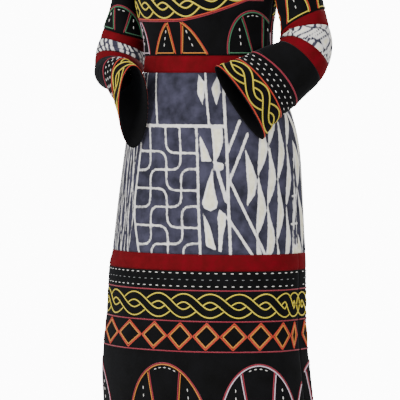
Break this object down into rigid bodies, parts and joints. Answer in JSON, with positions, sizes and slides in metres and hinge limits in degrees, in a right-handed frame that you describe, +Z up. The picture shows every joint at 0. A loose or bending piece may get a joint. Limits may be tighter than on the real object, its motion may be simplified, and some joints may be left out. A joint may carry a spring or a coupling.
{
  "type": "ndop dress",
  "caption": "Long-sleeved ankle-length ndop dress, filled out as worn: embroidered black velvet bodice, cuffs and hem, indigo ndop skirt, red bands.",
  "frame": {"origin": "on the body's axis at the height of the shoulder seams' neck end, where the shoulders carry the dress", "axes": "+Z up, -Y the front, +X the wearer's left"},
  "size_m": [0.6503, 0.4285, 1.375],
  "materials": {
    "velvet": "black cotton velvet, soft short nap",
    "red_cotton": "red cotton, plain weave, matte",
    "ndop_cloth": "strip-woven cotton, resist dyed in indigo with white motifs",
    "embroidery_thread": "chain stitch in acrylic yarn, slightly raised"
  },
  "bodies": {
    "root": {"bodice_front": "velvet", "bodice_back": "velvet", "waist_band_front": "red_cotton", "waist_band_back": "red_cotton", "skirt_front": "ndop_cloth", "skirt_back": "ndop_cloth", "lower_band_front": "red_cotton", "lower_band_back": "red_cotton", "hem_border_front": "velvet", "hem_border_back": "velvet", "upper_sleeve_left": "velvet", "sleeve_band_upper_left": "red_cotton", "sleeve_ndop_left": "ndop_cloth", "sleeve_band_lower_left": "red_cotton", "lower_sleeve_left": "velvet", "cuff_left": "velvet", "upper_sleeve_right": "velvet", "sleeve_band_upper_right": "red_cotton", "sleeve_ndop_right": "ndop_cloth", "sleeve_band_lower_right": "red_cotton", "lower_sleeve_right": "velvet", "cuff_right": "velvet"}
  },
  "joints": []
}
